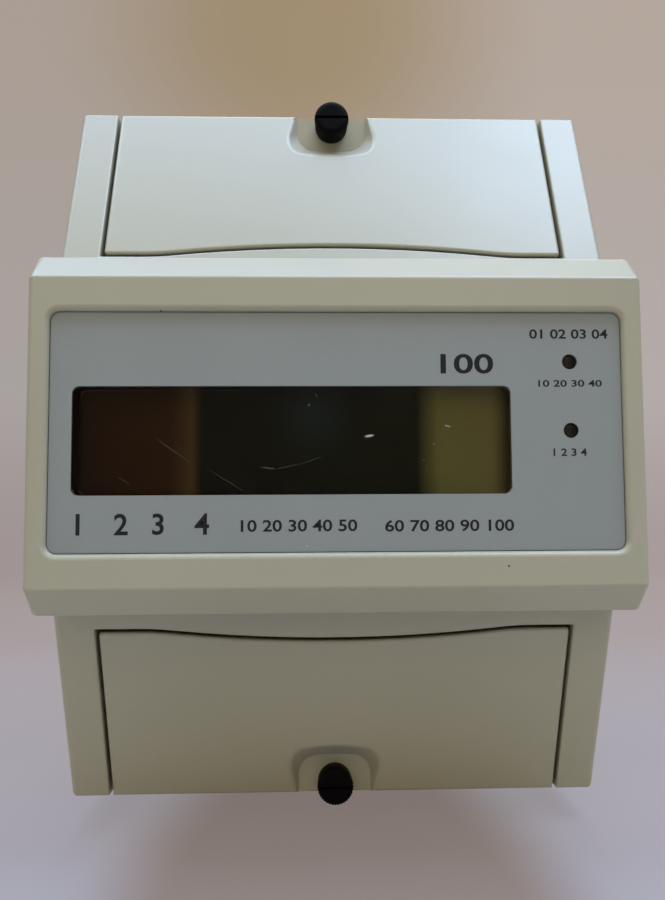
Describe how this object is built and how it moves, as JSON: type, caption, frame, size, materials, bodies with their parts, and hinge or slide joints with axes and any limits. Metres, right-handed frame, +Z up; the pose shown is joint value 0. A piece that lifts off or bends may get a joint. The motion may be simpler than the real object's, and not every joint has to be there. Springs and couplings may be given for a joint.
{
  "type": "energy meter",
  "caption": "Electricity meter for a mounting rail, with a recessed display plate, sloped terminal covers, rising clamp terminals and a sprung rail latch.",
  "frame": {"origin": "middle of the face that seats on the rail's front", "axes": "+X to the right as seen from the front, +Y into the cabinet, +Z up"},
  "size_m": [0.076, 0.0655, 0.107],
  "materials": {
    "case": "semi-gloss moulded plastic, fine orange peel",
    "label": "printed film",
    "window": "polished",
    "display": "polished, unlit",
    "white_plastic": "moulded",
    "black_plastic": "moulded",
    "red_plastic": "clear tinted, unlit",
    "yellow_plastic": "moulded box",
    "blue_plastic": "dipped coating",
    "green_plastic": "moulded",
    "board": "solder resist",
    "rubber": "soft",
    "black_metal": "blackened, knurled",
    "steel": "zinc plated",
    "copper": "bare copper",
    "brass": "bare"
  },
  "bodies": {
    "housing": {"front_housing": "case", "rear_base": "case", "label_plate": "label", "display_window": "window", "display_glass": "display", "display_frame": "black_plastic", "display_backlight": "white_plastic", "display_strips": "rubber", "pulse_led": "red_plastic", "reverse_led": "red_plastic", "main_board": "board", "display_board": "board", "case_screws": "steel", "supply_capacitor": "yellow_plastic", "optocoupler": "black_plastic", "crystal": "steel", "bulk_capacitor": "black_plastic", "varistor": "blue_plastic", "metering_chip": "black_plastic", "board_header": "black_plastic", "line_in_bar": "copper", "shunt_element": "brass", "line_out_bar": "copper", "neutral_bar": "copper", "sense_pins": "brass", "pulse_block": "green_plastic", "pulse_pins": "brass", "latch_spring": "steel"},
    "upper_cover": {"upper_cover": "case"},
    "upper_seal": {"upper_seal_screw": "black_metal"},
    "lower_cover": {"lower_cover": "case"},
    "lower_seal": {"lower_seal_screw": "black_metal"},
    "line_in_screw": {"line_in_screw": "steel"},
    "line_in_cage": {"line_in_cage": "steel"},
    "line_out_screw": {"line_out_screw": "steel"},
    "line_out_cage": {"line_out_cage": "steel"},
    "neutral_in_screw": {"neutral_in_screw": "steel"},
    "neutral_in_cage": {"neutral_in_cage": "steel"},
    "neutral_out_screw": {"neutral_out_screw": "steel"},
    "neutral_out_cage": {"neutral_out_cage": "steel"},
    "pulse_plus_screw": {"pulse_plus_screw": "steel"},
    "pulse_plus_cage": {"pulse_plus_cage": "steel"},
    "pulse_minus_screw": {"pulse_minus_screw": "steel"},
    "pulse_minus_cage": {"pulse_minus_cage": "steel"},
    "latch": {"din_latch": "black_plastic"}
  },
  "joints": [
    {"name": "upper_cover_lift", "type": "slide", "parent": "housing", "child": "upper_cover", "axis": [0, -1, 0], "range_m": [0, 0.035]},
    {"name": "upper_seal_turn", "type": "hinge", "parent": "upper_cover", "child": "upper_seal", "pos_m": [0, -0.036, 0.049], "axis": [0, -1, 0], "range_deg": [0, 2160]},
    {"name": "lower_cover_lift", "type": "slide", "parent": "housing", "child": "lower_cover", "axis": [0, -1, 0], "range_m": [0, 0.035]},
    {"name": "lower_seal_turn", "type": "hinge", "parent": "lower_cover", "child": "lower_seal", "pos_m": [0, -0.036, -0.049], "axis": [0, -1, 0], "range_deg": [0, 2160]},
    {"name": "line_in_cage_rise", "type": "slide", "parent": "housing", "child": "line_in_cage", "axis": [0, -1, 0], "range_m": [0, 0.008]},
    {"name": "line_in_screw_turn", "type": "hinge", "parent": "housing", "child": "line_in_screw", "pos_m": [-0.02, -0.02, -0.038], "axis": [0, 1, 0], "range_deg": [0, 2880]},
    {"name": "line_out_cage_rise", "type": "slide", "parent": "housing", "child": "line_out_cage", "axis": [0, -1, 0], "range_m": [0, 0.008]},
    {"name": "line_out_screw_turn", "type": "hinge", "parent": "housing", "child": "line_out_screw", "pos_m": [-0.02, -0.02, 0.038], "axis": [0, 1, 0], "range_deg": [0, 2880]},
    {"name": "neutral_in_cage_rise", "type": "slide", "parent": "housing", "child": "neutral_in_cage", "axis": [0, -1, 0], "range_m": [0, 0.008]},
    {"name": "neutral_in_screw_turn", "type": "hinge", "parent": "housing", "child": "neutral_in_screw", "pos_m": [0.02, -0.02, -0.038], "axis": [0, 1, 0], "range_deg": [0, 2880]},
    {"name": "neutral_out_cage_rise", "type": "slide", "parent": "housing", "child": "neutral_out_cage", "axis": [0, -1, 0], "range_m": [0, 0.008]},
    {"name": "neutral_out_screw_turn", "type": "hinge", "parent": "housing", "child": "neutral_out_screw", "pos_m": [0.02, -0.02, 0.038], "axis": [0, 1, 0], "range_deg": [0, 2880]},
    {"name": "pulse_plus_cage_rise", "type": "slide", "parent": "housing", "child": "pulse_plus_cage", "axis": [0, -1, 0], "range_m": [0, 0.003]},
    {"name": "pulse_plus_screw_turn", "type": "hinge", "parent": "housing", "child": "pulse_plus_screw", "pos_m": [-0.00254, -0.02, 0.0405], "axis": [0, 1, 0], "range_deg": [0, 2400]},
    {"name": "pulse_minus_cage_rise", "type": "slide", "parent": "housing", "child": "pulse_minus_cage", "axis": [0, -1, 0], "range_m": [0, 0.003]},
    {"name": "pulse_minus_screw_turn", "type": "hinge", "parent": "housing", "child": "pulse_minus_screw", "pos_m": [0.00254, -0.02, 0.0405], "axis": [0, 1, 0], "range_deg": [0, 2400]},
    {"name": "latch_slide", "type": "slide", "parent": "housing", "child": "latch", "axis": [0, 0, 1], "range_m": [-0.004, 0], "stiffness_N_per_m": 800, "springref_m": 0.004, "deforming": ["latch_spring"]}
  ],
  "couplings": [
    {"joint": "line_in_screw_turn", "follows": "line_in_cage_rise", "rad_per_m": 6283.2},
    {"joint": "line_out_screw_turn", "follows": "line_out_cage_rise", "rad_per_m": 6283.2},
    {"joint": "neutral_in_screw_turn", "follows": "neutral_in_cage_rise", "rad_per_m": 6283.2},
    {"joint": "neutral_out_screw_turn", "follows": "neutral_out_cage_rise", "rad_per_m": 6283.2},
    {"joint": "pulse_plus_screw_turn", "follows": "pulse_plus_cage_rise", "rad_per_m": 13963},
    {"joint": "pulse_minus_screw_turn", "follows": "pulse_minus_cage_rise", "rad_per_m": 13963}
  ]
}
